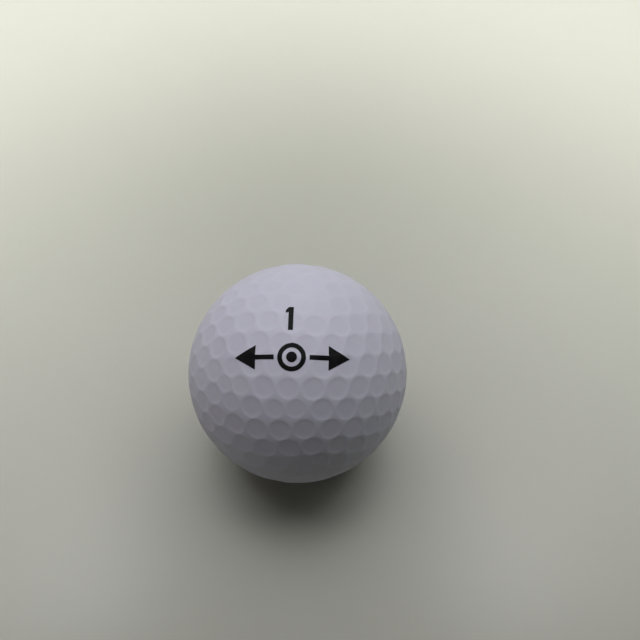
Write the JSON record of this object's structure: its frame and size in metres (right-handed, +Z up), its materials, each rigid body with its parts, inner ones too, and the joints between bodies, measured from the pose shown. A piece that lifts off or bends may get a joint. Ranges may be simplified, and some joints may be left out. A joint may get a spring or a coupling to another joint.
{
  "type": "golf ball",
  "caption": "White dimpled golf ball with layered cores, a mantle, a cover moulded in two halves, a printed play number and an aiming mark.",
  "frame": {"origin": "centre of the ball", "axes": "+Z up with the ball lying as pictured, the print facing up and towards -Y, and its marks reading along +X"},
  "size_m": [0.0426, 0.0426, 0.0427],
  "materials": {
    "cover": "satin clear coat over white paint",
    "ink": "black pad-printed ink",
    "mantle": "moulded ionomer",
    "outer_core": "ground rubber",
    "inner_core": "moulded rubber"
  },
  "bodies": {
    "root": {"inner_core": "inner_core", "outer_core": "outer_core", "mantle": "mantle", "cover_upper": "cover", "cover_lower": "cover", "play_number": "ink", "aim_ring": "ink", "aim_spot": "ink", "aim_arrow_left": "ink", "aim_arrow_right": "ink"}
  },
  "joints": []
}
